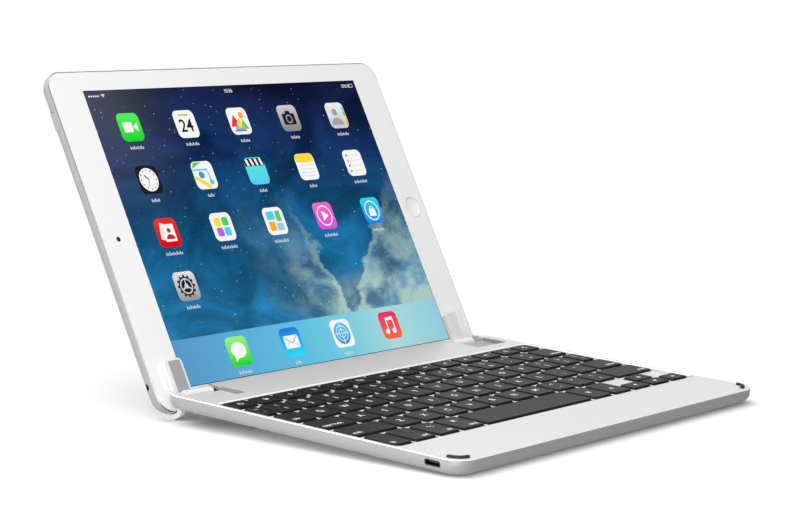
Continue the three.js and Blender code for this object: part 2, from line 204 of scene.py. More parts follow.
# Painted highlight: the well's rear rim is a bright cut that also glows faintly, so it reads as a lit edge.
rim_glow_highlight = surface("rim_aluminium_painted_glow", 0.97, 0.005, metal=0.2, blue=0.0, Emission_Strength=0.12, **POLISHED)
edge_metal = surface("polished_edge", 0.3, 0.01, metal=1.0, **POLISHED)
dark_steel = surface("dark_steel", 0.125, 0.025, (0.28, 0.45), 1.0, 700, 0.1, stretch=(1, 8, 8))
sheet_steel = surface("sheet_steel", 0.5, 0.04, (0.26, 0.42), 1.0, 500, 0.1, blue=0.01, stretch=(1, 12, 1))
cap = surface("keycap", 0.009, 0.001, (0.4, 0.5), 0.0, 5200, 0.25, blue=0.0005, Specular_IOR_Level=0.42)
# Painted shade: a darker, duller copy of the cap plastic for the caps' sides.
shaded_key_flank = surface("keycap_side", 0.005, 0.001, (0.55, 0.65), 0.0, 5200, 0.25, blue=0.0005,
                   Specular_IOR_Level=0.25)
print_white = surface("legend_white", 0.93, 0.02, (0.45, 0.55), 0.0, 3000, 0.05, 0.000005, 0.01)
black_rubber = surface("black_rubber", 0.014, 0.003, (0.52, 0.68), 0.0, 3500, 0.3, 0.00002, 0.001)
silicone = surface("milky_silicone", 0.88, 0.008, (0.33, 0.45), 0.0, 1500, 0.1, Subsurface_Weight=0.15,
                   Subsurface_Radius=(1.0, 1.0, 1.0), Subsurface_Scale=0.0012, Transmission_Weight=0.05,
                   IOR=1.41)
white_glass = surface("white_glass", 0.88, 0.006, (0.1, 0.14), 0.0, 400, 0, blue=-0.003, Coat_Weight=0.4,
                      Coat_Roughness=0.03)
lens = surface("lens_glass", 0.006, 0.002, (0.04, 0.09), 0.0, 2000, 0, blue=0.003, Coat_Weight=0.3)
film = surface("contact_film", 0.5, 0.04, (0.3, 0.5), 0.0, 900, 0.1, 0.00002, 0.04)
foil = surface("battery_foil", 0.038, 0.008, (0.3, 0.5), 0.4, 700, 0.3, 0.0001, 0.01)
hole_black = surface("hole_black", 0.006, 0.002, (0.7, 0.85), 0.0, 2500, 0.2, blue=0.001,
                     Specular_IOR_Level=0.1)
mask = grain(material("circuit_mask", (0.01, 0.09, 0.035), 0.35), 1200, 0.2, 0.00003, (0.28, 0.45),
             ((0.008, 0.075, 0.03), (0.014, 0.11, 0.045)))


def picture_material():
    """Icons and labels take their colour from each face's own tint."""
    m = material("screen_icons", (0, 0, 0), 0.2, Specular_IOR_Level=0.0, Emission_Strength=1.0)
    tree = m.node_tree
    shade = node(tree, "TexNoise", Scale=350.0, Detail=1.0)
    feed(tree, shade.inputs["Vector"], node(tree, "TexCoord").outputs["Object"])
    tint = node(tree, "Attribute", attribute_name="tint").outputs["Color"]
    light = between(tree, shade.outputs["Fac"], 0.0, 1.0, 0.95, 1.05)
    glow = mixed(tree, "MULTIPLY", 1.0, tint, light)
    feed(tree, tree.nodes["Principled BSDF"].inputs["Emission Color"], glow)
    return m


# ---- mesh helpers ----
def polar(x, y, r, angle):
    return x + r * cos(angle), y + r * sin(angle)


def rounded(x0, x1, y0, y1, r, n=6):
    """Corner-rounded rectangle, counter-clockwise."""
    points = []
    corners = ((x1 - r, y0 + r), (x1 - r, y1 - r), (x0 + r, y1 - r), (x0 + r, y0 + r))
    for start, (cx, cy) in zip((-90, 0, 90, 180), corners):
        points += [polar(cx, cy, r, radians(start + 90 * i / n)) for i in range(n + 1)]
    return points


def oblong(x, y, half_x, half_y, r, n=6):
    return rounded(x - half_x, x + half_x, y - half_y, y + half_y, r, n)


def circle(x, y, r, n=24, start=0.0):
    return [polar(x, y, r, start + 2 * pi * i / n) for i in range(n)]


def loft(bm, rings):
    """A closed solid through rings of equal length, from the lowest ring up."""
    rows = [[bm.verts.new(p) for p in ring] for ring in rings]
    n = len(rows[0])
    for low, high in zip(rows, rows[1:]):
        for i in range(n):
            j = (i + 1) % n
            bm.faces.new((low[i], low[j], high[j], high[i]))
    bm.faces.new(rows[0][::-1])
    bm.faces.new(rows[-1])


def at(points, z):
    return [(x, y, z) for x, y in points]


def prism(bm, points, z0, z1):
    loft(bm, [at(points, z0), at(points, z1)])


def prism_x(bm, points, x0, x1):
    """Points in Y and Z, counter-clockwise seen from +X, drawn along X."""
    loft(bm, [[(x, y, z) for y, z in points] for x in (x0, x1)])


def along_y(points, y):
    """Points in X and Z, at a place along Y, turned to face +Y."""
    return [(x, y, z) for x, z in points][::-1]


def block(bm, x0, x1, y0, y1, z0, z1):
    prism(bm, [(x0, y0), (x1, y0), (x1, y1), (x0, y1)], z0, z1)


def rod_x(bm, r, x0, x1, y, z, n=48):
    prism_x(bm, circle(y, z, r, n), x0, x1)


def turned(bm, profile, x, y, n=48):
    """Profile of (radius, height), from the bottom up, turned about an upright axis."""
    loft(bm, [at(circle(x, y, max(r, 0.001), n), z) for r, z in profile])


def shaped(bm, cuts=(), joins=(), bevel=0.0, segments=2, limit=40, smooth=35):
    """The mesh of bm after cuts, joins and a bevel, with smooth shading up to an angle."""
    def mesh_of(source):
        source.normal_update()
        mesh = bpy.data.meshes.new("part")
        source.to_mesh(mesh)
        source.free()
        return mesh

    work = bpy.data.objects.new("part", mesh_of(bm))
    bpy.context.collection.objects.link(work)
    tools = []
    for operation, sources in (("UNION", joins), ("DIFFERENCE", cuts)):
        for source in sources:
            tool = bpy.data.objects.new("tool", mesh_of(source))
            bpy.context.collection.objects.link(tool)
            mod = work.modifiers.new("cut", "BOOLEAN")
            mod.operation, mod.object, mod.solver = operation, tool, "EXACT"
            tools.append(tool)
    if bevel:
        mod = work.modifiers.new("bevel", "BEVEL")
        mod.width, mod.segments, mod.limit_method = bevel, segments, "ANGLE"
        mod.angle_limit = radians(limit)
        mod.use_clamp_overlap = True
    depsgraph = bpy.context.evaluated_depsgraph_get()
    result = bpy.data.meshes.new_from_object(work.evaluated_get(depsgraph))
    for o in [work] + tools:
        mesh = o.data
        bpy.data.objects.remove(o)
        bpy.data.meshes.remove(mesh)
    result.polygons.foreach_set("use_smooth", [True] * len(result.polygons))
    result.set_sharp_from_angle(angle=radians(smooth))
    return result


def piece(name, mesh, place, body, slot, mats, replaces=()):
    """Puts a millimetre mesh in the scene in metres, riding on a body."""
    if isinstance(mesh, bmesh.types.BMesh):
        mesh = shaped(mesh)
    mesh.name = name
    mesh.transform(place)
    for m in mats if isinstance(mats, (list, tuple)) else [mats]:
        mesh.materials.append(m)
    o = bpy.data.objects.new(name, mesh)
    bpy.context.collection.objects.link(o)
    weight = o.modifiers.new("normals", "WEIGHTED_NORMAL")
    weight.keep_sharp = True
    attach(o, body)
    if replaces:
        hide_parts(*replaces)
    return o


def calm(o):
    """A lit screen that throws no colour on its surroundings."""
    o.visible_diffuse = o.visible_glossy = False


def paint(mesh, pick):
    """Gives each face the material number that pick returns for its centre and normal."""
    for p in mesh.polygons:
        p.material_index = pick(p.center, p.normal)


def slab_ring(r, d, z):
    """The base's and the tablet's outline, drawn in by d, at height z."""
    return at(oblong(0, 0, HALF_X - d, HALF_Y - d, max(r - d, 2), 14), z)


def slab_rings(r, thick, straight, inset, chamfer, steps=10):
    """Rings of a slab with an upright edge over a curved belly, top face at zero."""
    rings = []
    for i in range(steps + 1):
        a = radians(90 * (1 - i / steps))
        rings.append(slab_ring(r, inset * (1 - cos(a)), -straight - (thick - straight) * sin(a)))
    return rings + [slab_ring(r, 0, -chamfer), slab_ring(r, chamfer, 0)]


SIDES = (("left", -1), ("right", 1))


def span(side, a, b):
    return (-b, -a) if side < 0 else (a, b)


# ---- key layout: name, width; the last key of a row fills it ----
def letters(text):
    return [(c, KEY_W) for c in text]


F_W = (2 * KEYS_X - 13 * KEY_GAP) / 14
ROWS = [
    ("function_row", 41.5, 51.9, [("f%d" % i, F_W) for i in range(14)]),
    ("number_row", 24.55, 38.95, [("grave", 7.8)] + letters("1234567890-=") + [("delete", 0)]),
    ("upper_letter_row", 7.5, 21.9, [("tab", 14.6)] + letters("QWERTYUIOP[]") + [("\\", 0)]),
    ("home_row", -9.55, 4.85, [("caps_lock", 21.8)] + letters("ASDFGHJKL;'") + [("return", 0)]),
    ("lower_letter_row", -26.6, -12.2,
     [("shift_left", 28.45)] + letters("ZXCVBNM,./") + [("shift_right", 0)]),
    ("bottom_row", -47.4, -29.2,
     [("fn", 12), ("control", 14.3), ("option_left", 14.2), ("command_left", 15.7), ("space", 81.6),
      ("command_right", 14.6), ("option_right", 14.7), ("arrow_left", 14.6), ("arrow_down", 14.6),
      ("arrow_right", 0)]),
]
NODE_NAMES = {";": "semicolon", "'": "quote"}
SINGLE = ("delete", "shift_left", "shift_right")


def lay_keys():
    """Every key as (name, node, x0, x1, y0, y1)."""
    keys = []
    for row, front, rear, names in ROWS:
        x = -KEYS_X
        for name, width in names:
            x1 = x + width if width else KEYS_X
            alone = row in ("home_row", "bottom_row") or name in SINGLE
            holder = "key_" + NODE_NAMES.get(name, name.lower()) if alone else row + "_keys"
            top = rear
            if name in ("arrow_left", "arrow_right"):
                top = front + 9.2
            if name == "arrow_down":
                top = front + 8.7
                keys.append(("arrow_up", "key_arrow_up", x, x1, top + 0.8, rear))
            keys.append((name, holder, x, x1, front, top))
            x = x1 + KEY_GAP
    return keys


KEYS = lay_keys()


# ---- keyboard base ----
def bumper_band(bm, side, grow, z0, z1):
    """A quarter ring of rubber round a front corner, grown by a margin on all sides."""
    cx, cy = side * (HALF_X - BASE_R), -HALF_Y + BASE_R
    start, turn = (180 if side < 0 else 270), degrees(grow / 6.4)
    angles = [radians(start - turn + (90 + 2 * turn) * i / 24) for i in range(25)]
    outer = [polar(cx, cy, 7.2 + grow, a) for a in angles]
    inner = [polar(cx, cy, 5.6 - grow, a) for a in angles]
    prism(bm, outer + inner[::-1], z0, z1)


def hollow_outline():
    """The room inside the tray: the rear corners stay solid round the hinges."""
    x, y = HALF_X - 5.7, HALF_Y - 5.7
    cx, cy = 86, 59.5
    return [(-x, -y), (x, -y), (x, cy), (cx, cy), (cx, y), (-cx, y), (-cx, cy), (-x, cy)]


def deck():
    bm = bmesh.new()
    loft(bm, slab_rings(BASE_R, BASE_T, SIDE, BELLY, CHAMFER))
    hollow, windows, well, slots, pockets, tunnels, grooves = (bmesh.new() for _ in range(7))
    prism(hollow, hollow_outline(), -BASE_T - 1, -1.85)
    for _, _, x0, x1, y0, y1 in KEYS:
        block(windows, x0 - 0.3, x1 + 0.3, y0 - 0.3, y1 + 0.3, -4.1, -0.9)
    x0, x1, y0, y1 = WELL
    loft(well, [at(rounded(x0 - d, x1 + d, y0 - d, y1 + d, 3.5 + d, 8), z)
                for d, z in ((0, -WELL_D), (0, -WELL_RIM), (WELL_RIM + 0.5, 0.5))])
    prism_x(slots, oblong(SOCKET_Y, SOCKET_Z, 4.15, 1.4, 0.9, 4), -125, -112)
    for _, side in SIDES:
        a, b = span(side, *RECESS)
        block(slots, a, b, 71.9, 90, -8, -3.4)
        prism(pockets, rounded(a, b, RECESS_Y, 95, 1.5, 6), RECESS_Z, 1)
        block(tunnels, a, b, 77.2, 90, -8, 2)
        rod_x(grooves, 1.6, *span(side, 73.5, 89.5), HINGE_Y, HINGE_Z, 24)
        bumper_band(grooves, side, 0.12, -1.3, 1)
    mesh = shaped(bm, cuts=(hollow, windows, well, slots, pockets, tunnels, grooves),
                  bevel=0.1, segments=2, limit=50, smooth=30)

    def pick(c, n):
        """Satin tops and polished cuts, with painted light: a glowing highlight on the well's rear rim, and painted
        shade in darker metal on the sides, the right well rim, the right recess floor and the inside.
        """
        to_side, to_end = abs(c.x) - HALF_X, abs(c.y) - HALF_Y
        if c.z > -WELL_RIM and 0.3 < n.z < 0.9:
            if abs(c.x) < x1 + 1 and y0 - 1 < c.y < y1 + 1:
                # Painted highlight on the rear rim, painted shade on the right rim; the other cut faces are
                # polished.
                return 4 if n.y < -0.3 else 2 if n.x < -0.3 else 1
            if max(to_side, to_end) > -0.6 or hypot(to_side + BASE_R, to_end + BASE_R) > BASE_R - 0.7:
                return 1
        # Painted shade: the right recess floor in the darker side metal.
        if c.x > 0 and c.y > RECESS_Y + 0.1 and abs(c.z - RECESS_Z) < 0.1:
            return 2
        if n.z > 0.3:
            return 0
        # Painted shade: darker metal on the sides and near the edge, darker still inside.
        return 2 if max(to_side, to_end) > -5.6 else 3

    paint(mesh, pick)
    piece("deck_body", mesh, DECK, "base", "aluminium", [satin, bright, shaded_side_metal, shaded_inner_metal, rim_glow_highlight],
          ["top_deck"])


def feet_and_bumpers():
    for end, y in (("front", -73), ("rear", 50)):
        for name, side in SIDES:
            bm = bmesh.new()
            turned(bm, [(4.4, -7.9), (4.8, -7.82), (5, -7.6), (5, -6.6)], side * 98, y)
            corner = end + "_" + name
            piece("foot_pad_" + corner, bm, DECK, "base", "black_rubber", black_rubber, ["foot_" + corner])
    for name, side in SIDES:
        bm = bmesh.new()
        bumper_band(bm, side, 0, -1.2, 1.1)
        mesh = shaped(bm, bevel=0.45, segments=4, limit=50, smooth=50)
        piece("bumper_pad_" + name, mesh, DECK, "base", "black_rubber", black_rubber,
              ["corner_bumper_" + name])


# ---- flat artwork: key legends and screen pictures ----
text_cache = {}


def text_shape(text):
    """Triangles of a word, one unit high em, from its left end on its baseline."""
    if text not in text_cache:
        curve = bpy.data.curves.new("word", "FONT")
        curve.body = text
        curve.offset = 0.012
        curve.resolution_u = 3
        o = bpy.data.objects.new("word", curve)
        bpy.context.collection.objects.link(o)
        mesh = bpy.data.meshes.new_from_object(o.evaluated_get(bpy.context.evaluated_depsgraph_get()))
        verts = [tuple(v.co)[:2] for v in mesh.vertices]
        text_cache[text] = (verts, [tuple(p.vertices) for p in mesh.polygons])
        bpy.data.objects.remove(o)
        bpy.data.curves.remove(curve)
        bpy.data.meshes.remove(mesh)
    return text_cache[text]


class Art:
    """Flat shapes in one mesh, each with a tint, stacked in thin layers."""

    def __init__(self, z):
        self.bm = bmesh.new()
        self.tint = self.bm.loops.layers.float_color.new("tint")
        self.z = z

    def shape(self, points, color=(1, 1, 1), layer=0):
        verts = [self.bm.verts.new((x, y, self.z + 0.02 * layer)) for x, y in points]
        self.tinted([self.bm.faces.new(verts)], color)

    def tinted(self, faces, color):
        for f in faces:
            if f.normal.z < 0:
                f.normal_flip()
            for corner in f.loops:
                if callable(color):
                    corner[self.tint] = (*color(corner.vert.co.x, corner.vert.co.y), 1)
                else:
                    corner[self.tint] = (*color, 1)

    def band(self, inner, outer, color=(1, 1, 1), layer=0):
        z = self.z + 0.02 * layer
        a, b = ([self.bm.verts.new((x, y, z)) for x, y in ring] for ring in (inner, outer))
        self.tinted([self.bm.faces.new((a[i - 1], b[i - 1], b[i], a[i])) for i in range(len(a))], color)

    def ring(self, x, y, r, w, color=(1, 1, 1), layer=0, n=28):
        self.band(circle(x, y, r - w / 2, n), circle(x, y, r + w / 2, n), color, layer)

    def bar(self, x0, y0, x1, y1, w, color=(1, 1, 1), layer=0):
        d = hypot(x1 - x0, y1 - y0)
        ox, oy = -(y1 - y0) / d * w / 2, (x1 - x0) / d * w / 2
        corners = [(x0 - ox, y0 - oy), (x1 - ox, y1 - oy), (x1 + ox, y1 + oy), (x0 + ox, y0 + oy)]
        self.shape(corners, color, layer)

    def word(self, text, x, y, size, anchor=0.5, color=(1, 1, 1), layer=0, middle=False):
        verts, faces = text_shape(text)
        lo, hi = min(v[0] for v in verts), max(v[0] for v in verts)
        low, high = min(v[1] for v in verts), max(v[1] for v in verts)
        dx = x - size * (lo + (hi - lo) * anchor)
        dy = y - (size * (low + high) / 2 if middle else 0)
        z = self.z + 0.02 * layer
        made = [self.bm.verts.new((dx + size * vx, dy + size * vy, z)) for vx, vy in verts]
        flat = [self.bm.faces.new([made[i] for i in f]) for f in faces]
        self.bm.normal_update()
        self.tinted(flat, color)

    def mesh(self):
        self.bm.normal_update()
        mesh = bpy.data.meshes.new("art")
        self.bm.to_mesh(mesh)
        self.bm.free()
        return mesh


# ---- keys ----
PAIRS = {"1": "!", "2": "@", "3": "#", "4": "$", "5": "%", "6": "^", "7": "&", "8": "*", "9": "(", "0": ")",
         "-": "_", "=": "+", "[": "{", "]": "}", "\\": "|", ";": ":", "'": '"', ",": "<", ".": ">", "/": "?",
         "grave": "~"}
WORDS = {"tab": ("tab", 0), "caps_lock": ("caps lock", 0), "shift_left": ("shift", 0), "fn": ("fn", 0),
         "delete": ("delete", 1), "return": ("return", 1), "shift_right": ("shift", 1),
         "control": ("ctrl", 1), "option_left": ("alt", 1), "command_left": ("cmd", 1)}


def sun(a, x, y, r):
    a.ring(x, y, r * 0.5, 0.3)
    for i in range(8):
        a.bar(*polar(x, y, r * 0.85, i * pi / 4), *polar(x, y, r * 1.3, i * pi / 4), 0.28)


def triangle(a, x, y, r, turn=0.0):
    a.shape(circle(x, y, r, 3, turn))


def function_sign(a, i, x, y):
    """The plain signs of the function row: home, lock, light, search, play and sound."""
    if i == 0:
        a.band(oblong(x, y, 1.0, 1.0, 0.4, 3), oblong(x, y, 1.4, 1.4, 0.7, 3))
    elif i == 1:
        a.shape(rounded(x - 1.2, x + 1.2, y - 1.4, y + 0.3, 0.25, 2))
        a.ring(x, y + 0.4, 0.85, 0.3)
    elif i in (2, 3):
        sun(a, x, y, 1.0 if i == 2 else 1.35)
    elif i == 4:
        a.ring(x - 0.3, y + 0.3, 1.0, 0.35)
        a.bar(x + 0.5, y - 0.5, x + 1.4, y - 1.4, 0.4)
    elif i == 5:
        a.band(oblong(x, y, 1.8, 1.0, 0.3, 2), oblong(x, y, 2.1, 1.3, 0.5, 2))
        for k in range(4):
            a.bar(x - 1.35 + k * 0.9 - 0.2, y + 0.2, x - 1.35 + k * 0.9 + 0.2, y + 0.2, 0.4)
        a.bar(x - 0.9, y - 0.5, x + 0.9, y - 0.5, 0.35)
    elif i in (6, 8):
        turn = pi if i == 6 else 0.0
        triangle(a, x - 0.7, y, 1.0, turn)
        triangle(a, x + 0.8, y, 1.0, turn)
    elif i == 7:
        triangle(a, x - 0.8, y, 1.2)
        a.bar(x + 0.6, y - 1.0, x + 0.6, y + 1.0, 0.35)
        a.bar(x + 1.3, y - 1.0, x + 1.3, y + 1.0, 0.35)
    elif i in (9, 10, 11):
        horn = ((-1.7, -0.5), (-1.1, -0.5), (-0.2, -1.3), (-0.2, 1.3), (-1.1, 0.5), (-1.7, 0.5))
        a.shape([(x + dx, y + dy) for dx, dy in horn])
        for k in range(i - 9):
            r = 0.9 + 0.7 * k
            arc = [radians(-50 + 100 * j / 8) for j in range(9)]
            for p, q in zip(arc, arc[1:]):
                a.bar(*polar(x, y, r, p), *polar(x, y, r, q), 0.3)
    elif i == 12:
        for k in range(3):
            a.bar(x - 1.4, y - 0.9 + k * 0.9, x + 1.4, y - 0.9 + k * 0.9, 0.32)
    else:
        a.ring(x, y, 1.3, 0.32)
        a.bar(x, y, x, y + 1.7, 0.4)


def legend(a, name, x0, x1, y0, y1):
    x, y = (x0 + x1) / 2, (y0 + y1) / 2
    if name.startswith("f") and name[1:].isdigit():
        function_sign(a, int(name[1:]), x, y)
    elif name in PAIRS:
        a.word("`" if name == "grave" else name, x, y - 3.0, 3.9, middle=True)
        a.word(PAIRS[name], x, y + 2.8, 3.9, middle=True)
    elif len(name) == 1:
        a.word(name, x, y, 4.6, middle=True)
    elif name in WORDS:
        text, right = WORDS[name]
        a.word(text, x1 - 1.8 if right else x0 + 1.8, y0 + 2.6, 3.5, anchor=right)
        if name == "option_left":
            a.bar(x - 1.5, y + 3.4, x + 0.2, y + 3.4, 0.4)
            a.bar(x + 0.1, y + 3.5, x + 1.2, y + 1.6, 0.4)
            a.bar(x + 1.0, y + 1.7, x + 2.0, y + 1.7, 0.4)
            a.bar(x + 0.9, y + 3.4, x + 2.0, y + 3.4, 0.4)
    elif name == "option_right":
        a.word("alt", x, y - 1.6, 3.5, middle=True)
    if name.startswith("command"):
        ry = y + 3.0 if name.endswith("left") else y
        for i in range(4):
            p = pi / 4 + i * pi / 2
            a.bar(*polar(x, ry, 1.7, p), *polar(x, ry, -0.2, p), 0.5)
        a.ring(x, ry, 0.95, 0.3)
    arrows = {"arrow_left": pi, "arrow_right": 0.0, "arrow_up": pi / 2, "arrow_down": -pi / 2}
    if name in arrows:
        triangle(a, x, y, 1.5, arrows[name])


def keycap(bm, x0, x1, y0, y1):
    """A cap with drawn-in sides, a rolled top edge and a barely dished top."""
    side = ((0, -2.3), (0, -1.25), (0.33, -0.3), (0.4, -0.12), (0.52, -0.03))
    top = ((0.8, 0.0), (1.5, -0.06), (2.4, -0.1))
    loft(bm, [at(rounded(x0 + d, x1 - d, y0 + d, y1 - d, max(1.35 - d / 2, 0.4)), z) for d, z in side + top])


def keyboard():
    holders = {}
    for name, holder, *box in KEYS:
        holders.setdefault(holder, []).append((name, box))
    for holder, keys in holders.items():
        bm, art = bmesh.new(), Art(-0.065)
        for name, box in keys:
            keycap(bm, *box)
            legend(art, name, *box)
        mesh = shaped(bm, smooth=38)
        # Faces steeper than the top take the darker side plastic: painted shade on the caps' sides.
        paint(mesh, lambda p, n: 1 if n.z < 0.5 else 0)
        piece("cap_" + holder, mesh, DECK, holder, "key_plastic", [cap, shaded_key_flank], [holder])
        if len(art.bm.faces):
            piece("legend_" + holder, art.mesh(), DECK, holder, "key_plastic", print_white)
        else:
            art.bm.free()


# ---- clips ----
def arc_points(cy, cz, r, start, end, n):
    return [polar(cy, cz, r, radians(start + (end - start) * i / n)) for i in range(n + 1)]


def cradle_section(out_front, out_back, clear, toe=False):
    """The U section round the tablet's lower edge, clockwise from the front limb's top."""
    front, rear, start = 4.0, 7.0, -124
    s = [(-out_front, front), (-out_front, 3)]
    if toe:
        s += [(-out_front - 1.2, 1.2), (-out_front - 1.5, -0.2), (-out_front - 1.0, -1.8)]
    else:
        start = -degrees(acos(-(2 + out_front) / (5.5 + out_back)))
    s += arc_points(2, 5.5, 5.5 + out_back, start, 0, 22)
    s += [(TAB_T + out_back, rear), (TAB_T + clear, rear)]
    s += arc_points(2, 5.5, 5.5 + clear, 0, -90, 14)
    return s + [(-clear, -clear), (-clear, front)]


def limb(bm, side, reach, top, r, y0, y1, foot=2.0):
    """An upright limb of a clip: rounded top corners seen from the front, from y0 to y1."""
    a, b = span(side, *reach)
    outline = [p for p in rounded(a, b, 0.0, top, r, 8) if p[1] > top / 2] + [(a, foot), (b, foot)]
    loft(bm, [[(x, y, z) for x, z in outline] for y in (y1, y0)])


def clips():
    """Each clip is a metal arm with its hinge barrel, in a sleeve that shows round it."""
    end = (FLANGE, SLEEVE[1])
    # Each clip takes its own painted brightness: darker on the left, lighter on the right.
    for (name, side), painted_tone in zip(SIDES, (clip_metal, lit_clip_metal)):
        body = "clip_" + name
        arm, plates, barrel, bore = (bmesh.new() for _ in range(4))
        prism_x(arm, cradle_section(2.6, 2.6, 1.3, toe=True), *span(side, *ARM))
        limb(plates, side, ARM, 23.2, 0.7, -2.6, -1.3)
        limb(plates, side, ARM, 26.0, 0.7, 8.8, 10.1, REAR_FOOT)
        rod_x(barrel, BARREL_R, *span(side, 91.8, ARM[1]), BARREL_Y, BARREL_Z, 64)
        rod_x(bore, 1.35, *span(side, 91.0, 106.0), BARREL_Y, BARREL_Z, 32)
        mesh = shaped(arm, joins=[plates, barrel], cuts=[bore], bevel=0.25, segments=3, limit=45)
        # Barrel faces take the paler metal: partly a polished finish, partly a painted highlight.
        paint(mesh, lambda p, n: 1 if hypot(p.y - BARREL_Y, p.z - BARREL_Z) < BARREL_R + 0.2 else 0)
        piece("clip_arm_" + name, mesh, LEANING, body, "aluminium", [painted_tone, barrel_highlight_metal],
              ["clip_bracket_" + name])

        sheet, flange, limbs, seat = (bmesh.new() for _ in range(4))
        prism_x(sheet, cradle_section(1.0, 1.0, 0.3), *span(side, *SLEEVE))
        prism_x(flange, cradle_section(2.5, 2.72, 0.35), *span(side, *end))
        limb(limbs, side, SLEEVE, 24.1, 2.0, -2.62, -0.32)
        limb(limbs, side, SLEEVE, 26.8, 2.0, 7.82, 8.76, REAR_FOOT)
        limb(limbs, side, end, 26.8, 1.0, 7.82, 10.2, REAR_FOOT)
        block(seat, *span(side, ARM[0] - 0.03, ARM[1] + 0.03), -3.5, -1.25, -2.0, 23.23)
        mesh = shaped(sheet, joins=[flange, limbs], cuts=[seat], bevel=0.3, segments=3, limit=45, smooth=50)
        piece("clip_sleeve_" + name, mesh, LEANING, body, "white_silicone", silicone, ["clip_liner_" + name])


# ---- tablet, drawn face up ----
def tablet_shell():
    bm = bmesh.new()
    lip = ((TAB_CUT, -0.04), (TAB_CUT + 0.08, -0.05), (TAB_CUT + 0.1, -1.0))
    rings = slab_rings(TAB_R, TAB_T, 2.0, 5.5, TAB_CUT, steps=14)[:-1]
    loft(bm, rings + [slab_ring(TAB_R, d, z) for d, z in lip])
    buttons, ports, holes, button_seat = (bmesh.new() for _ in range(4))
    turned(button_seat, [(5.9, -2.8), (5.9, 1)], HOME_X, 0, 64)
    prism_x(buttons, oblong(POWER_Y, SIDE_KEY_Z, 5.1, 1.4, 1.2), -121, -117.5)
    for x in VOLUME_X.values():
        loft(buttons, [along_y(oblong(x, SIDE_KEY_Z, 5.1, 1.4, 1.2), y) for y in (82.2, 86)])
    rod_x(ports, JACK_R, -121, -116, JACK_Y, JACK_Z, 32)
    prism_x(ports, rounded(-4.4, 4.4, -5.2, -2.5, 1.3), 116, 121)
    for row in (-3.0, -4.3):
        for i in range(14):
            for s in (-1, 1):
                rod_x(holes, 0.42, 117.5, 121, s * (12 + 1.5 * i), row, 10)
    mesh = shaped(bm, cuts=[buttons, ports, holes, button_seat], smooth=28)

    def pick(c, n):
        if 0.3 < n.z < 0.95 and c.z > -TAB_CUT:
            return 1
        jack = hypot(c.y - JACK_Y, c.z - JACK_Z) < JACK_R - 0.01 and c.x < 0
        port = abs(c.y) < 4.38 and -5.18 < c.z < -2.52 and c.x > 0
        speaker = 11 < abs(c.y) < 33 and c.x > 117 and abs(n.x) < 0.5 and -5 < c.z < -2.4
        return 2 if jack or port or speaker or (n.z > 0.95 and c.z < -0.9) else 0

    paint(mesh, pick)
    piece("tablet_shell_body", mesh, TABLET, "tablet", "aluminium", [shell_metal, edge_metal, hole_black],
          ["tablet_back_shell"])


def tablet_front():
    bm = bmesh.new()
    gap = TAB_CUT + 0.18
    edge = ((gap, -0.85), (gap, -0.2), (gap + 0.05, -0.07), (gap + 0.18, 0.0))
    loft(bm, [slab_ring(TAB_R, d, z) for d, z in edge])
    window, button = bmesh.new(), bmesh.new()
    block(window, -SCREEN_X - 0.35, SCREEN_X + 0.35, -SCREEN_Y - 0.35, SCREEN_Y + 0.35, -0.5, 1)
    turned(button, [(5.85, -2), (5.85, 1)], HOME_X, 0, 64)
    mesh = shaped(bm, cuts=[window, button], smooth=30)
    piece("tablet_white_front", mesh, TABLET, "tablet", "white_glass", white_glass, ["tablet_front_glass"])

    bm = bmesh.new()
    dish = [(5.4 * cos(radians(a)), -0.1 - 0.85 * sin(radians(a))) for a in range(0, 90, 6)]
    turned(bm, [(5.6, -1.6), (5.6, -0.2), (5.5, -0.1)] + dish + [(0.05, -0.95)], HOME_X, 0, 64)
    piece("tablet_front_button", shaped(bm, smooth=60), TABLET, "tablet_home_button", "white_glass",
          white_glass, ["tablet_home_button"])

    bm = bmesh.new()
    turned(bm, [(1.25, 0.004), (1.2, 0.02), (0.05, 0.02)], -HOME_X, 0, 40)
    piece("tablet_front_camera", shaped(bm, smooth=30), TABLET, "tablet", "display", lens)


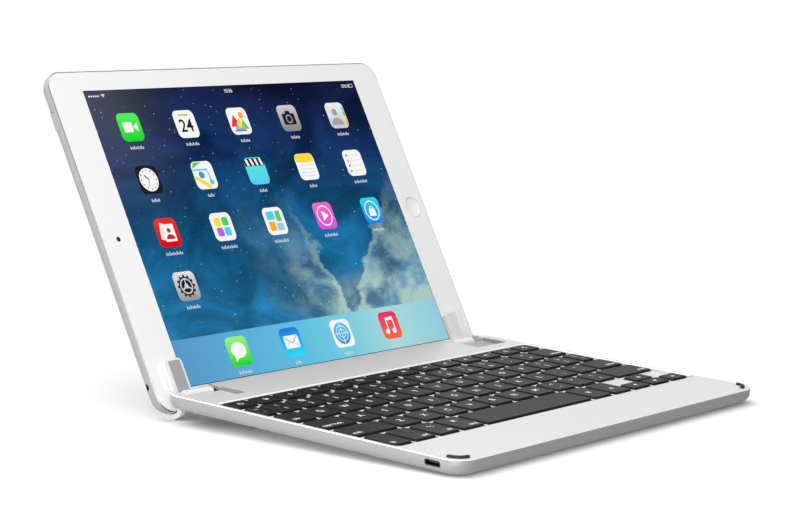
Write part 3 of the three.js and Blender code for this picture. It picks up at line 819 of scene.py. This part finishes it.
def wallpaper():
    """A procedural night sky: stars over navy that pales to teal, cloud at the lower right, and
    a pale band along the bottom."""
    m = material("screen_sky", (0, 0, 0), 0.2, Specular_IOR_Level=0.0, Emission_Strength=1.0)
    tree = m.node_tree
    uv = node(tree, "TexCoord").outputs["UV"]
    split = node(tree, "SeparateXYZ")
    feed(tree, split.inputs["Vector"], uv)
    u, v = split.outputs["X"], split.outputs["Y"]

    def noise(scale, detail, rough=0.5, warp=0.0):
        n = node(tree, "TexNoise", Scale=scale, Detail=detail, Roughness=rough, Distortion=warp)
        feed(tree, n.inputs["Vector"], uv)
        return n.outputs["Fac"]

    def product(*values):
        out = values[0]
        for value in values[1:]:
            out = calc(tree, "MULTIPLY", out, value)
        return out

    def line(slope, start, sign):
        """How far the point is past a leaning, ragged cloud edge."""
        edge = calc(tree, "MULTIPLY_ADD", v, slope, start)
        ragged = calc(tree, "MULTIPLY_ADD", noise(7.0, 9.0, 0.62), 0.2, -0.1)
        return calc(tree, "MULTIPLY_ADD", calc(tree, "SUBTRACT", u, edge), sign, ragged)

    rise = calc(tree, "MULTIPLY_ADD", noise(2.2, 3.0, warp=0.6), 0.3, calc(tree, "SUBTRACT", v, 0.15))
    sky = ramp(tree, rise, ((0.0, (0.02, 0.18, 0.36)), (0.25, (0.014, 0.15, 0.32)),
                            (0.42, (0.008, 0.11, 0.25)), (0.6, (0.006, 0.053, 0.142)),
                            (0.78, (0.006, 0.023, 0.089)), (1.0, (0.007, 0.011, 0.042))))
    glow = between(tree, noise(3.4, 8.0, 0.58, 0.9), 0.36, 0.68, 0.6, 1.6)
    sky = mixed(tree, "MULTIPLY", 1.0, sky, glow)
    # Painted reflection: a faint pale glare added to the upper left corner of the sky.
    painted_glare = product(between(tree, u, 0.35, 0.0), between(tree, v, 0.45, 1.0), 0.055)
    sky = mixed(tree, "ADD", 1.0, sky, painted_glare)

    right, left = line(0.65, 0.57, 1.0), line(-0.24, 0.713, -1.0)
    billow = between(tree, noise(9.0, 12.0, 0.64, 0.35), 0.36, 0.68, 0.12, 1.0)
    body = product(between(tree, right, -0.01, 0.03), between(tree, v, 0.7, 0.36), billow, 0.62)
    plume = product(between(tree, left, -0.008, 0.02), between(tree, left, 0.3, 0.02),
                    between(tree, v, 0.62, 0.2), billow, 0.7)
    bank = product(between(tree, v, 0.33, 0.16), between(tree, u, 0.57, 0.7), billow, 0.8)
    rims = [product(between(tree, side, -0.004, 0.008), between(tree, side, 0.04, 0.008),
                    between(tree, v, 0.62, 0.3), 0.42) for side in (right, left)]
    cloud = body
    for part in (plume, bank, *rims):
        cloud = calc(tree, "ADD", cloud, part)
    sky = mixed(tree, "MIX", calc(tree, "MINIMUM", cloud, 0.95), sky, (0.4, 0.6, 0.57, 1))

    cells = node(tree, "TexVoronoi", Scale=58.0)
    feed(tree, cells.inputs["Vector"], uv)
    pick = node(tree, "SeparateColor")
    feed(tree, pick.inputs["Color"], cells.outputs["Color"])
    star = product(between(tree, cells.outputs["Distance"], 0.13, 0.02),
                   calc(tree, "POWER", pick.outputs["Red"], 2.2))
    sky = mixed(tree, "ADD", star, sky, (0.75, 0.95, 1.0, 1))

    band = ramp(tree, u, ((0.0, (0.1, 0.31, 0.56)), (0.2, (0.11, 0.4, 0.66)), (0.45, (0.12, 0.53, 0.74)),
                          (0.62, (0.19, 0.6, 0.73)), (0.8, (0.4, 0.69, 0.7)), (1.0, (0.28, 0.6, 0.72))))
    screen = mixed(tree, "MIX", calc(tree, "LESS_THAN", v, BAND_TOP), sky, band)
    feed(tree, tree.nodes["Principled BSDF"].inputs["Emission Color"], screen)
    return m


INK, PAPER = (0.015, 0.015, 0.018), (0.93, 0.93, 0.93)
GREY, SILVER = (0.35, 0.36, 0.38), (0.62, 0.62, 0.64)
RED, ORANGE, YELLOW = (0.8, 0.05, 0.04), (0.95, 0.4, 0.04), (0.95, 0.7, 0.05)
GREEN, BLUE, VIOLET = (0.1, 0.62, 0.12), (0.05, 0.32, 0.85), (0.45, 0.15, 0.6)
CYAN = (0.1, 0.6, 0.85)
BAND_TOP = 0.152                     # height of the pale band as a share of the display


def fade(low, high, y0, y1):
    """A tint that runs from low at y0 to high at y1."""
    def color(_, y):
        t = min(max((y - y0) / (y1 - y0), 0), 1)
        return tuple(a + (b - a) * t for a, b in zip(low, high))
    return color


class Tile:
    """One icon: its pictogram is drawn in a square from -1 to 1."""

    def __init__(self, art, x, y, half):
        self.art, self.x, self.y, self.half = art, x, y, half

    def at(self, points):
        return [(self.x + self.half * px, self.y + self.half * py) for px, py in points]

    def shape(self, points, color, layer=2):
        self.art.shape(self.at(points), color, layer)

    def box(self, x0, x1, y0, y1, color, r=0.08, layer=2):
        self.shape(rounded(x0, x1, y0, y1, r, 4), color, layer)

    def disc(self, x, y, r, color, layer=2):
        self.shape(circle(x, y, r, 28), color, layer)

    def ring(self, x, y, r, w, color, layer=2):
        inner, outer = (self.at(circle(x, y, r + s * w / 2, 36)) for s in (-1, 1))
        self.art.band(inner, outer, color, layer)

    def bar(self, x0, y0, x1, y1, w, color, layer=2):
        (ax, ay), (bx, by) = self.at([(x0, y0), (x1, y1)])
        self.art.bar(ax, ay, bx, by, w * self.half, color, layer)

    def spokes(self, count, r0, r1, w, color, start=90.0, layer=3):
        for i in range(count):
            a = radians(start + 360 * i / count)
            self.bar(*polar(0, 0, r0, a), *polar(0, 0, r1, a), w, color, layer)

    def bust(self, x, y, r, color, layer=2):
        """Head and shoulders."""
        self.disc(x, y + r * 0.5, r * 0.42, color, layer)
        angles = [radians(12 * i) for i in range(16)]
        self.shape([(x - r * cos(a), y - r + r * 0.85 * sin(a)) for a in angles], color, layer)

    def note(self, x, y, r, color):
        """Two joined quavers."""
        for s in (-1, 1):
            stem = x + s * r * 0.55 + r * 0.1
            self.disc(stem - r * 0.24, y - r * 0.65, r * 0.3, color)
            self.bar(stem, y - r * 0.6, stem, y + r * 0.8, r * 0.16, color)
        self.bar(x - r * 0.53, y + r * 0.7, x + r * 0.73, y + r * 0.78, r * 0.34, color)


def video(t):
    t.box(-0.62, 0.22, -0.36, 0.36, PAPER, 0.14)
    t.shape([(0.32, -0.06), (0.66, -0.3), (0.66, 0.3), (0.32, 0.06)], PAPER)


def calendar(t):
    t.box(-0.5, 0.5, 0.6, 0.72, ORANGE, 0.04)
    t.art.word("24", t.x, t.y - 0.1 * t.half, 1.3 * t.half, color=INK, layer=2, middle=True)


def picture(t):
    t.disc(0.36, 0.42, 0.24, ORANGE)
    for x, y, r, color in ((-0.4, 0.1, 0.5, RED), (0.0, -0.1, 0.5, YELLOW), (0.4, -0.2, 0.42, GREEN),
                           (-0.28, -0.42, 0.38, BLUE), (0.2, -0.52, 0.32, VIOLET)):
        t.shape([(x - r, max(y - r, -0.78)), (x + r, max(y - r, -0.78)), (x, y + r * 0.8)], color)


def lens_box(t):
    t.box(-0.64, 0.64, -0.5, 0.36, INK, 0.12)
    t.box(-0.26, 0.26, 0.3, 0.56, INK)
    t.ring(0, -0.06, 0.28, 0.1, GREY, 3)


def address_book(t):
    t.bust(-0.14, -0.08, 0.66, GREY)
    for i, color in enumerate((CYAN, GREEN, YELLOW, ORANGE)):
        t.box(0.76, 0.97, 0.3 - 0.36 * i, 0.62 - 0.36 * i, color, 0.05)


def clock(t):
    t.disc(0, 0, 0.82, PAPER)
    t.spokes(12, 0.62, 0.72, 0.07, INK)
    t.bar(0, 0, -0.3, 0.34, 0.09, INK, 3)
    t.bar(0, 0, -0.16, -0.56, 0.06, RED, 3)


def street_map(t):
    t.shape([(-0.94, 0.5), (0.1, 0.94), (-0.7, 0.94)], GREEN)
    t.bar(-0.95, 0.4, 0.4, 0.4, 0.12, CYAN)
    t.bar(0.4, 0.44, 0.5, -0.5, 0.12, CYAN)
    t.disc(0.52, -0.52, 0.2, CYAN, 3)
    t.bar(-0.9, -0.1, 0.3, -0.9, 0.3, YELLOW)
    t.disc(-0.25, 0.02, 0.26, BLUE, 3)


def film_board(t):
    t.box(-0.98, 0.98, 0.36, 0.94, INK, 0.1)
    for i in range(4):
        x = -0.86 + i * 0.46
        t.shape([(x + 0.13, 0.4), (x + 0.35, 0.4), (x + 0.22, 0.9), (x, 0.9)], PAPER, 3)


def note_pad(t):
    t.box(-0.99, 0.99, 0.34, 0.99, YELLOW, 0.34)
    for i in range(4):
        t.bar(-0.75, 0.1 - 0.26 * i, 0.75, 0.1 - 0.26 * i, 0.04, SILVER, 3)


def task_list(t):
    for i, color in enumerate((BLUE, ORANGE, RED, GREEN)):
        y = 0.6 - 0.4 * i
        t.disc(-0.6, y, 0.11, color)
        t.bar(-0.35, y, 0.75, y, 0.04, SILVER)


def portrait(t):
    t.shape([(-0.74, -0.4), (0.0, -0.66), (0.26, 0.5), (-0.5, 0.74)], (0.95, 0.75, 0.72))
    t.box(-0.36, 0.66, -0.62, 0.58, PAPER, 0.05, 3)
    t.bust(0.15, -0.06, 0.4, (0.5, 0.03, 0.03), 4)


def four_squares(t):
    for x, y, color in ((-1, 1, YELLOW), (1, 1, GREEN), (-1, -1, VIOLET), (1, -1, CYAN)):
        t.shape(oblong(0.36 * x, 0.36 * y, 0.31, 0.31, 0.16, 4), color)


def magazines(t):
    for x0, x1, y0, y1, color in ((-0.7, 0.08, 0.1, 0.72, CYAN), (0.2, 0.7, -0.05, 0.72, GREEN),
                                  (-0.7, -0.08, -0.7, -0.02, ORANGE),
                                  (0.04, 0.7, -0.7, -0.17, (0.3, 0.6, 0.75))):
        t.box(x0, x1, y0, y1, color, 0.05)


def player(t):
    t.ring(0, 0, 0.72, 0.09, PAPER)
    t.shape([(-0.22, -0.38), (0.42, 0), (-0.22, 0.38)], PAPER)


def bag(t):
    t.ring(0, 0, 0.72, 0.09, PAPER)
    t.shape([(-0.38, -0.42), (0.38, -0.42), (0.3, 0.14), (-0.3, 0.14)], PAPER)
    t.ring(0, 0.14, 0.18, 0.08, PAPER)


def cog(t):
    t.disc(0, 0, 0.66, INK)
    t.spokes(12, 0.5, 0.78, 0.17, INK, layer=2)
    t.ring(0, 0, 0.5, 0.1, SILVER, 3)
    t.disc(0, 0, 0.18, SILVER, 3)
    t.spokes(3, 0.1, 0.48, 0.1, SILVER, 90)


def speech(t):
    t.shape([(px, 0.06 + 0.54 / 0.7 * py) for px, py in circle(0, 0, 0.7, 36)], PAPER)
    t.shape([(-0.5, -0.72), (-0.08, -0.42), (-0.5, -0.24)], PAPER)


def envelope(t):
    t.box(-0.7, 0.7, -0.44, 0.46, PAPER, 0.06)
    for s in (-1, 1):
        t.bar(s * 0.66, 0.42, 0, -0.1, 0.06, BLUE, 3)
        t.bar(s * 0.66, -0.4, s * 0.2, 0.04, 0.04, CYAN, 3)


def globe(t):
    t.disc(0, 0, 0.8, fade((0.02, 0.25, 0.85), (0.1, 0.62, 0.95), t.y - t.half, t.y + t.half))
    t.spokes(4, 0.05, 0.74, 0.05, PAPER, 0)
    for r in (0.3, 0.55):
        t.ring(0, 0, r, 0.05, PAPER, 3)


def notes(t):
    t.note(0, 0, 0.66, PAPER)


PALE = (PAPER, PAPER)
GRID = (
    ((video, ((0.01, 0.68, 0.02), (0.1, 0.85, 0.12)), 8), (calendar, PALE, 8), (picture, PALE, 6),
     (lens_box, ((0.22, 0.22, 0.23), (0.6, 0.6, 0.61)), 6),
     (address_book, ((0.6, 0.6, 0.61), (0.85, 0.85, 0.86)), 8)),
    ((clock, (INK, INK), 5), (street_map, PALE, 4), (film_board, ((0.1, 0.6, 0.85), (0.08, 0.85, 0.7)), 5),
     (note_pad, PALE, 5), (task_list, PALE, 9)),
    ((portrait, ((0.75, 0.0, 0.0), (0.85, 0.03, 0.02)), 10), (four_squares, PALE, 10), (magazines, PALE, 9),
     (player, ((0.75, 0.08, 0.75), (0.85, 0.15, 0.45)), 9),
     (bag, ((0.02, 0.2, 0.8), (0.03, 0.65, 0.85)), 8)),
    ((cog, ((0.3, 0.3, 0.32), (0.75, 0.75, 0.77)), 8),),
)
BAND = ((speech, ((0.0, 0.7, 0.01), (0.3, 0.9, 0.2)), 8),
        (envelope, ((0.02, 0.7, 0.95), (0.02, 0.16, 0.75)), 4),
        (globe, PALE, 6), (notes, ((0.9, 0.15, 0.05), (0.85, 0.02, 0.12)), 5))
PITCH_X, PITCH_Y, TILE_HALF = 38.1, 27.2, 7.3


def tile(a, kind, x, y):
    """A rounded icon over a row of small blocks that stand for its caption."""
    draw, (low, high), letter_count = kind
    h = TILE_HALF
    a.shape(oblong(x, y, h, h, h * 0.42, 8), fade(low, high, y - h, y + h), 1)
    draw(Tile(a, x, y, h))
    foot = y - h - 4.1
    for i in range(letter_count):
        left = x + (i - letter_count / 2) * 1.15
        top = foot + (1.5, 1.15, 1.75, 1.15)[i % 4]
        a.shape([(left, foot), (left + 0.72, foot), (left + 0.72, top), (left, top)], (0.6, 0.64, 0.7), 1)


def tablet_screen():
    bm = bmesh.new()
    prism(bm, oblong(0, 0, SCREEN_X, SCREEN_Y, 0.2, 1), -0.4, -0.04)
    mesh = shaped(bm, smooth=30)
    uv = mesh.uv_layers.new(name="UVMap")
    for corner in mesh.loops:
        co = mesh.vertices[corner.vertex_index].co
        uv.data[corner.index].uv = ((co.x / SCREEN_X + 1) / 2, (co.y / SCREEN_Y + 1) / 2)
    calm(piece("tablet_screen", mesh, TABLET, "tablet", "display", wallpaper(), ["tablet_display_panel"]))

    bm = bmesh.new()
    block(bm, -SCREEN_X - 0.33, SCREEN_X + 0.33, -SCREEN_Y - 0.33, SCREEN_Y + 0.33, -0.49, -0.1)
    piece("tablet_screen_seal", bm, TABLET, "tablet", "display", hole_black)

    a = Art(-0.02)
    pale = (0.85, 0.85, 0.87)
    for r, row in enumerate(GRID):
        for c, kind in enumerate(row):
            tile(a, kind, PITCH_X * (c - 2) - 0.8, 55.0 - PITCH_Y * r)
    for c, kind in enumerate(BAND):
        tile(a, kind, PITCH_X * (c - 1.5) - 0.8, -61.7)
    a.word("10:36", -0.5, SCREEN_Y - 3.6, 2.8, color=pale, layer=1)
    for i in range(5):
        a.shape(circle(-SCREEN_X + 2.4 + 1.5 * i, SCREEN_Y - 2.7, 0.52, 10), pale, 1)
    for r in (0.5, 1.1, 1.7):
        arc = [radians(50 + 10 * i) for i in range(9)]
        x, y = -SCREEN_X + 11.6, SCREEN_Y - 3.6
        outer, inner = ([polar(x, y, r + d, p) for p in arc] for d in (0.28, -0.1))
        a.shape(outer + inner[::-1], pale, 1)
    x, y = SCREEN_X - 4.2, SCREEN_Y - 2.7
    a.band(oblong(x, y, 1.9, 0.75, 0.2, 2), oblong(x, y, 2.15, 1.0, 0.3, 2), pale, 1)
    a.shape(rounded(x - 1.6, x - 0.5, y - 0.45, y + 0.45, 0.1, 1), pale, 1)
    a.word("33%", x - 2.9, y - 0.95, 2.6, anchor=1, color=pale, layer=1)
    calm(piece("tablet_screen_icons", a.mesh(), TABLET, "tablet", "display", picture_material()))


def tablet_buttons():
    bm = bmesh.new()
    loft(bm, [[(x, y, z) for y, z in oblong(POWER_Y, SIDE_KEY_Z, 4.8 - d, 1.1 - d, 1.05 - d)][::-1]
              for x, d in ((-119.72, 0.2), (-119.6, 0.05), (-119.45, 0.0), (-116.5, 0.0))])
    holder = "tablet_power_button"
    piece("tablet_power_key", shaped(bm, smooth=45), TABLET, holder, "aluminium", shell_metal, [holder])
    for name, x in VOLUME_X.items():
        bm = bmesh.new()
        loft(bm, [along_y(oblong(x, SIDE_KEY_Z, 4.8 - d, 1.1 - d, 1.05 - d), y)
                  for y, d in ((81.0, 0), (84.25, 0), (84.5, 0.06), (84.7, 0.25))])
        holder = "tablet_volume_" + name
        piece("tablet_volume_key_" + name, shaped(bm, smooth=45), TABLET, holder, "aluminium", shell_metal,
              [holder])
    glass = [(0.05, -7.62), (2.6, -7.62), (2.7, -7.5), (2.7, -7.3)]
    ring = [(2.8, -7.0), (2.8, -7.66), (3.3, -7.66), (3.55, -7.55), (3.6, -7.3), (3.6, -7.0)]
    for name, profile, slot, look in (("tablet_rear_lens", glass, "display", lens),
                                      ("tablet_lens_ring", ring, "aluminium", bright)):
        bm = bmesh.new()
        turned(bm, profile, LENS_X, LENS_Y, 48)
        piece(name, shaped(bm, smooth=30), TABLET, "tablet", slot, look)


# ---- stage ----
FLOOR_SIZE = 60.0                    # metres from the middle to each edge


def aimed(place, direction):
    return Matrix.Translation(place) @ direction.to_track_quat("-Z", "Y").to_matrix().to_4x4()


def studio():
    """A white room, a little brighter behind and to the left, with soft lights above and left."""
    world = bpy.data.worlds.new("studio")
    world.use_nodes = True
    bpy.context.scene.world = world
    tree = world.node_tree
    split = node(tree, "SeparateXYZ")
    feed(tree, split.inputs["Vector"], node(tree, "TexCoord").outputs["Generated"])
    height = calc(tree, "MULTIPLY_ADD", split.outputs["Z"], 0.5, 0.5)
    greys = ((0.0, 0.5), (0.42, 0.46), (0.5, 0.5), (0.56, 0.62), (0.8, 0.76), (1.0, 0.82))
    room = ramp(tree, height, [(at_height, (v, v, v)) for at_height, v in greys])
    side = calc(tree, "MULTIPLY_ADD", split.outputs["X"], -0.45, 1.0)
    room = mixed(tree, "MULTIPLY", 1.0, room, calc(tree, "MULTIPLY_ADD", split.outputs["Y"], 0.35, side))
    seen = node(tree, "LightPath").outputs["Is Camera Ray"]
    feed(tree, tree.nodes["Background"].inputs["Color"], mixed(tree, "MIX", seen, room, (1, 1, 1, 1)))

    overhead = bpy.data.lights.new("overhead", "SUN")
    overhead.energy, overhead.angle = 1.5, radians(60)
    lamp = bpy.data.objects.new("overhead", overhead)
    lamp.rotation_euler = (radians(-14), radians(-12), 0)
    bpy.context.collection.objects.link(lamp)

    softbox = bpy.data.lights.new("softbox", "AREA")
    softbox.size, softbox.energy = 0.6, 3.0
    lamp = bpy.data.objects.new("softbox", softbox)
    place = Vector((-0.62, -0.45, 0.2))
    lamp.matrix_world = aimed(place, Vector((0, 0, 0.06)) - place)
    lamp.visible_camera = False
    bpy.context.collection.objects.link(lamp)

    mesh = bpy.data.meshes.new("floor")
    corners = [(x * FLOOR_SIZE, y * FLOOR_SIZE, 0) for x, y in ((-1, -1), (1, -1), (1, 1), (-1, 1))]
    mesh.from_pydata(corners, [], [(0, 1, 2, 3)])
    paper = material("studio_paper", (0.88, 0.88, 0.88), 0.6, Specular_IOR_Level=0.1)
    mesh.materials.append(grain(paper, 60, rough=(0.55, 0.65)))
    floor = bpy.data.objects.new("floor", mesh)
    bpy.context.collection.objects.link(floor)
    floor.visible_glossy = False


def camera():
    """Seen from the front left, a little above: azimuth from +Y, drop below level, roll."""
    azimuth, drop, roll = (radians(v) for v in (51.689, 7.317, 1.28))
    distance = 1.1
    target = Vector((-0.0029, 0.0007, 0.0673))
    forward = Vector((sin(azimuth) * cos(drop), cos(azimuth) * cos(drop), -sin(drop)))
    data = bpy.data.cameras.new("camera")
    data.lens, data.sensor_width = 104.18, 36
    view = bpy.data.objects.new("camera", data)
    view.matrix_world = aimed(target - forward * distance, forward) @ Matrix.Rotation(roll, 4, "Z")
    bpy.context.collection.objects.link(view)
    bpy.context.scene.camera = view


def carried_over():
    """Better materials for the CAD nodes that stay in sight."""
    looks = {"bottom_cover": satin, "key_support_plate": dark_steel, "membrane_sheet": film,
             "battery_pack": foil, "tablet_battery": foil, "circuit_board": mask, "usb_charging_socket": dark_steel}
    for name, _ in SIDES:
        looks.update({"hinge_bracket_" + name: sheet_steel, "hinge_pin_" + name: dark_steel})
    for name, look in looks.items():
        mesh = frame["nodes"][name].data
        mesh.materials.clear()
        mesh.materials.append(look)


camera()
studio()
bpy.context.scene.view_settings.view_transform = "Standard"
carried_over()
deck()
feet_and_bumpers()
keyboard()
clips()
tablet_shell()
tablet_front()
tablet_screen()
tablet_buttons()
